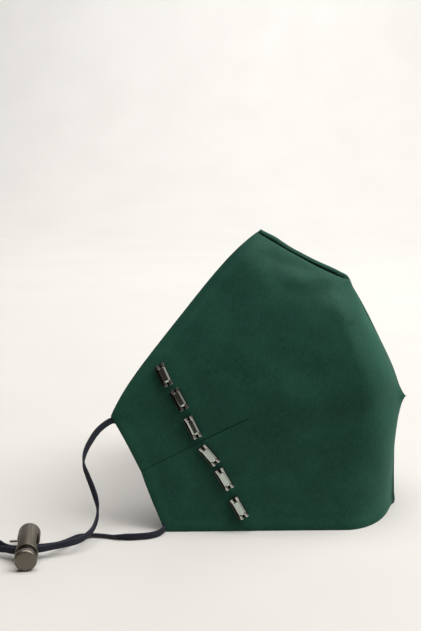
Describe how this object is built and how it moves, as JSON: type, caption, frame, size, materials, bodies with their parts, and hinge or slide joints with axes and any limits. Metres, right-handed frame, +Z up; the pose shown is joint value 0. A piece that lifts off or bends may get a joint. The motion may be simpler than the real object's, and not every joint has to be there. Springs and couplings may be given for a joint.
{
  "type": "cloth face mask",
  "caption": "Fitted cloth face mask with darted cheeks, a slanted row of claw-set stones on the right cheek and elastic ear loops with sprung cord locks.",
  "frame": {"origin": "middle of the cloth body's box, on the floor that its lower hem stands on; the ear loops and their locks are left out of that box", "axes": "+X towards the nose, +Y towards the wearer's left, +Z up"},
  "size_m": [0.1792, 0.1875, 0.1257],
  "materials": {
    "green_cotton": "dark green cotton sateen, soft sheen",
    "black_elastic": "black ribbed elastic, matte",
    "gunmetal": "satin gunmetal plating",
    "smoky_glass": "polished, dark mirror coating"
  },
  "bodies": {
    "mask": {"mask_shell": "green_cotton", "setting_1": "gunmetal", "setting_2": "gunmetal", "setting_3": "gunmetal", "setting_4": "gunmetal", "setting_5": "gunmetal", "setting_6": "gunmetal", "stone_1": "smoky_glass", "stone_2": "smoky_glass", "stone_3": "smoky_glass", "stone_4": "smoky_glass", "stone_5": "smoky_glass", "stone_6": "smoky_glass", "right_ear_loop": "black_elastic", "left_ear_loop": "black_elastic", "right_lock_barrel": "gunmetal", "right_lock_wire": "gunmetal", "left_lock_barrel": "gunmetal"},
    "right_plunger": {"right_lock_plunger": "gunmetal"},
    "left_plunger": {"left_lock_plunger": "gunmetal"}
  },
  "joints": [
    {"name": "right_lock_press", "type": "slide", "parent": "mask", "child": "right_plunger", "axis": [-0.3371, 0.9415, 0], "range_m": [0, 0.0016], "stiffness_N_per_m": 150},
    {"name": "left_lock_press", "type": "slide", "parent": "mask", "child": "left_plunger", "axis": [0, -1, 0], "range_m": [0, 0.0016], "stiffness_N_per_m": 150}
  ]
}
